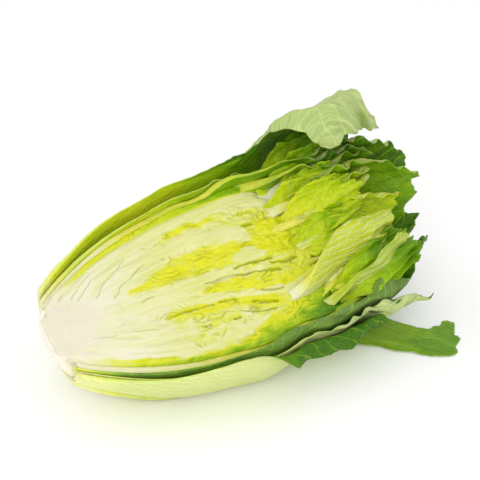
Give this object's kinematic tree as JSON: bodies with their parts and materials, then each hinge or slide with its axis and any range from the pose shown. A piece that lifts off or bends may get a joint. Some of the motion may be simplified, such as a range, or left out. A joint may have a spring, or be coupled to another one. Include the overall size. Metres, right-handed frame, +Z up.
{
  "type": "romaine lettuce half",
  "caption": "Half a romaine lettuce head, cut lengthwise: nested leaves with white ribs, a yellow heart and green ruffled tips, lying on its rounded back.",
  "frame": {"origin": "centre of the bounding box at the ground", "axes": "+X along the head from the butt to the leaf tips, +Y from the cut face's low near side to its high far side, +Z up"},
  "size_m": [0.2918, 0.1612, 0.1464],
  "materials": {
    "rib": "moist, creamy white",
    "heart_leaf": "satin, yellow to yellow-green",
    "inner_leaf": "satin, bright green",
    "outer_leaf": "satin, green"
  },
  "bodies": {
    "root": {"stem": "rib", "heart_leaf_1": "heart_leaf", "heart_leaf_2": "heart_leaf", "far_leaf_1": "heart_leaf", "far_leaf_2": "heart_leaf", "far_leaf_3": "heart_leaf", "far_leaf_4": "inner_leaf", "far_leaf_5": "inner_leaf", "far_leaf_6": "inner_leaf", "far_leaf_7": "outer_leaf", "near_leaf_1": "heart_leaf", "near_leaf_2": "heart_leaf", "near_leaf_3": "heart_leaf", "near_leaf_4": "heart_leaf", "near_leaf_5": "inner_leaf", "near_leaf_6": "outer_leaf", "curled_tip_leaf": "outer_leaf", "back_leaf": "outer_leaf", "rolled_near_leaf": "outer_leaf", "curled_near_leaf": "outer_leaf", "outer_far_leaf": "outer_leaf", "outer_near_leaf": "outer_leaf", "long_near_leaf": "outer_leaf"}
  },
  "joints": []
}
